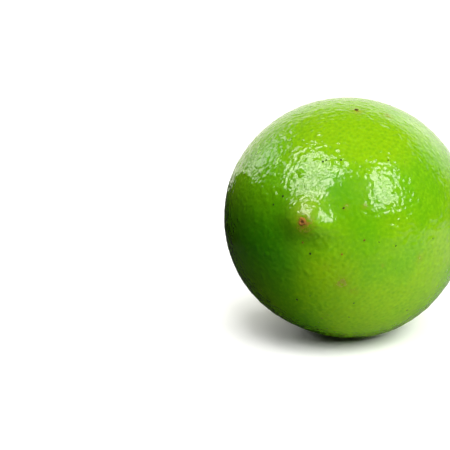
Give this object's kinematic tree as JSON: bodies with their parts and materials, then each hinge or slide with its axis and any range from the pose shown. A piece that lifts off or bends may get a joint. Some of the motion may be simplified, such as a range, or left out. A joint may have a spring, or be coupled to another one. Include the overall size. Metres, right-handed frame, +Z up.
{
  "type": "lime",
  "caption": "Whole fresh lime lying on its side: round green citrus fruit with a low nipple at the blossom end, a small stem scar and a small flat spot that it rests on.",
  "frame": {"origin": "middle of the outer box at the height of the surface that the fruit rests on", "axes": "+Z up from the resting surface; the fruit's long axis lies in the Y-Z plane, with the blossom end and its nipple towards -Y and 12 degrees above level, and the stem end towards +Y; +X across the fruit"},
  "size_m": [0.0542, 0.0596, 0.0536],
  "materials": {
    "peel": "satin"
  },
  "bodies": {
    "root": {"lime": "peel"}
  },
  "joints": []
}
